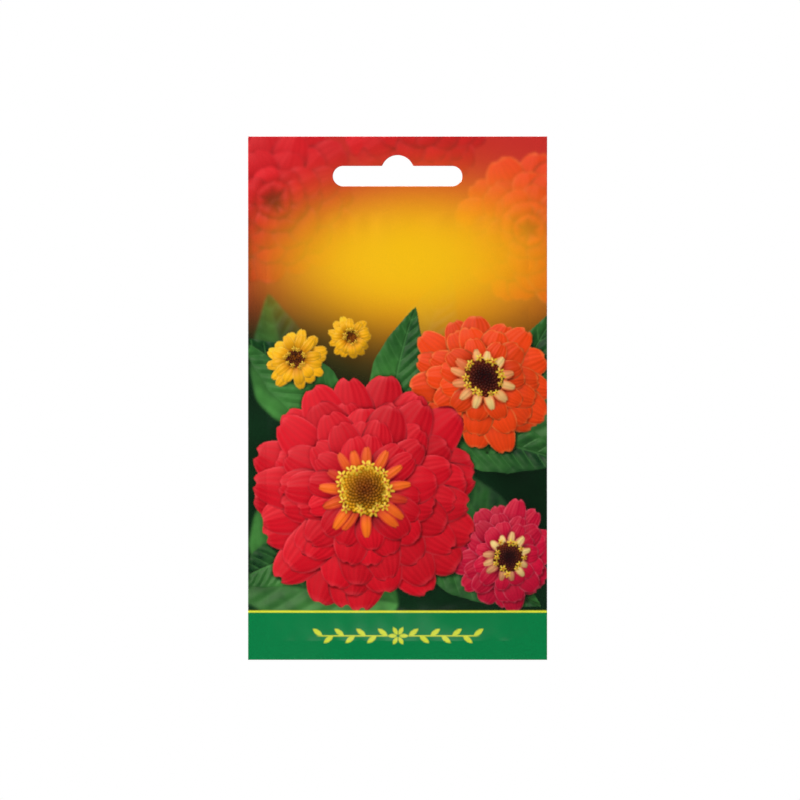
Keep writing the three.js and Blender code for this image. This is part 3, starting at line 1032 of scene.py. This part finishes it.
def growth_chart(picture):
    """A plant's growth in a framed panel: a seed in soil, a sprout, a young plant, and one in bloom."""
    x, z, half_width, half_height = GROWTH_PANEL
    inside = panel(x, z, half_width - GROWTH_LINE, half_height - GROWTH_LINE, 1.5)
    picture = framed(picture, *GROWTH_PANEL, 2.0, GROWTH_LINE, PANEL_WHITE)
    picture = over(picture, inside * smooth(-64, SOIL_TOP, page_z), PALE_SKY)
    crumbs = mottle(np.random.default_rng(5), 1.2)
    soil = over(SOIL[0], smooth(-0.4, 0.6, crumbs), SOIL[1])
    edge = SOIL_TOP + 0.25 * crumbs
    picture = over(picture, inside * smooth(edge + 0.1, edge - 0.1, page_z), soil)
    picture = over(picture, lozenge(24.0, SOIL_TOP - 4.0, math.radians(64), 3.6, 1.7), SEED_INK)
    for plant in PLANTS:
        picture = growing_plant(picture, *plant, plant == PLANTS[-1])
    return picture


def back_picture():
    """The whole back, in linear light."""
    picture = over(BACK_CREAM, smooth(HEADER_FOOT - 0.1, HEADER_FOOT + 0.1, page_z), HAZE_GOLD)
    picture = over(picture, smooth(0.45, 0.25, np.abs(page_z - HEADER_FOOT)), BAND_GREEN)
    for number, sign in enumerate((sun_sign, drop_sign, sprout_sign)):
        x = (number - 1) * SIGN_PITCH
        picture = over(picture, panel(x, SIGN_Z, SIGN_RADIUS, SIGN_RADIUS, SIGN_RADIUS), SIGN_ORANGE)
        picture = over(picture, sign(x, SIGN_Z), SIGN_WHITE)
    cell = CHART_WIDTH / CHART_CELLS
    for number in range(CHART_CELLS):
        x = (number + 0.5) * cell - CHART_WIDTH / 2
        fill = BAND_GREEN if number in SOWING else SIGN_ORANGE if number in FLOWERING else PANEL_WHITE
        spot = x, CHART_TOP - CHART_HEIGHT / 2, cell / 2 - 0.25, CHART_HEIGHT / 2
        picture = framed(picture, *spot, 0.5, CHART_LINE, fill)
    return np.clip(with_band(growth_chart(picture)), 0, WHITEST)


back_print = printed_paper("back print", 0.28, 0.4)
back_web = build_web("back_web", 1, BACK_BULGE, back_picture(), [back_print, bare_paper])
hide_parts("back_sheet")

# --- Studio ---------------------------------------------------------------------------------------
# The packet hangs before a white ground, well over a pale floor that fades out, and a long lens looks
# straight at its front. Soft lamps stand to the sides, behind and above, where the film mirrors none of
# them to the lens.

VIEW_WIDTH = 214.05  # what the view takes in, at the packet
VIEW_X = 0.64
VIEW_Z = -65.48
CAMERA_DISTANCE = 1600.0
SENSOR = 36.0
FLOOR_DROP = 150.0  # from the packet's foot
FLOOR_RADIUS = 600.0
FLOOR_SOLID = 0.25  # share of the radius that is opaque
FLOOR_SIDES = 96
FLOOR_TONES = 0xF2F1EF, 0xF8F7F5
FLOOR_SPECKS = 1 / 60  # metres
ROOM_LIGHT = 0.3
ROOM_BEHIND_LENS = 0.04
BACKDROP_ASIDE = 0.8  # how bright the ground is seen to the sides, next to 1 behind the packet

camera = new_object("camera", bpy.data.cameras.new("camera"))
camera.data.sensor_width = SENSOR
camera.data.lens = SENSOR * CAMERA_DISTANCE / VIEW_WIDTH
camera.location = Vector((VIEW_X, -CAMERA_DISTANCE, VIEW_Z)) * MM
camera.rotation_euler = (math.pi / 2, 0, 0)
bpy.context.scene.camera = camera
bpy.context.scene.view_settings.view_transform = "Standard"

pale_floor, tree, shader = new_material("pale floor")
place = add(tree, "ShaderNodeTexCoord").outputs["Object"]
far_out = add(tree, "ShaderNodeVectorMath", {0: place}, operation="LENGTH").outputs["Value"]
fade = spread(tree, far_out, FLOOR_RADIUS * FLOOR_SOLID * MM, FLOOR_RADIUS * MM, 1.0, 0.0)
speck = noise_in(tree, FLOOR_SPECKS, place, Detail=4.0)
floor_colour = blend(tree, speck, *map(rgba, FLOOR_TONES))
feed(tree, shader, {"Base Color": floor_colour, "Roughness": 0.8, "Alpha": fade})

turn = np.linspace(0, 2 * math.pi, FLOOR_SIDES, endpoint=False)
disc = np.stack([np.cos(turn), np.sin(turn), np.zeros(FLOOR_SIDES)], 1) * FLOOR_RADIUS
floor_mesh = bpy.data.meshes.new("floor")
fill_mesh(floor_mesh, disc, [np.arange(FLOOR_SIDES)[None]])
floor_mesh.materials.append(pale_floor)
floor = new_object("floor", floor_mesh)
floor.location.z = (FOOT - FLOOR_DROP) * MM

world = bpy.data.worlds.new("white room")
bpy.context.scene.world = world
world.use_nodes = True
tree = world.node_tree
direction = add(tree, "ShaderNodeTexCoord").outputs["Generated"]
toward = add(tree, "ShaderNodeSeparateXYZ", {0: direction}).outputs["Y"]
room_light = spread(tree, toward, -1.0, 0.0, ROOM_BEHIND_LENS, ROOM_LIGHT)
room = add(tree, "ShaderNodeBackground", {"Color": (1, 1, 1, 1), "Strength": room_light})
backdrop = tree.nodes["Background"]
brightness = spread(tree, toward, 0.7, 0.97, BACKDROP_ASIDE, 1.0)
feed(tree, backdrop, {"Color": (1, 1, 1, 1), "Strength": brightness})
is_seen = add(tree, "ShaderNodeLightPath").outputs["Is Camera Ray"]
mixed = add(tree, "ShaderNodeMixShader", {0: is_seen, 1: room.outputs[0], 2: backdrop.outputs[0]})
feed(tree, tree.nodes["World Output"], {"Surface": mixed.outputs[0]})

# Each lamp's place and size in metres, and its power in watts
aim = Vector((0, 0, VIEW_Z * MM))
for name, place, size, power in (
    ("left lamp", (-1.3, -0.8, 0.6), 0.5, 27.5),
    ("low left lamp", (-1.0, -0.63, -0.48), 0.35, 3.0),
    ("right lamp", (1.35, -0.75, 0.2), 0.8, 8.0),
    ("back lamp", (1.4, 0.55, 0.65), 0.5, 17.0),
    ("low back lamp", (0.95, 0.8, -0.35), 0.35, 2.0),
    ("top lamp", (0.0, 0.0, 1.0), 0.5, 7.0),
):
    lamp = new_object(name, bpy.data.lights.new(name, "AREA"))
    lamp.data.size = size
    lamp.data.energy = power
    lamp.location = place
    lamp.rotation_euler = (aim - lamp.location).to_track_quat("-Z", "Y").to_euler()
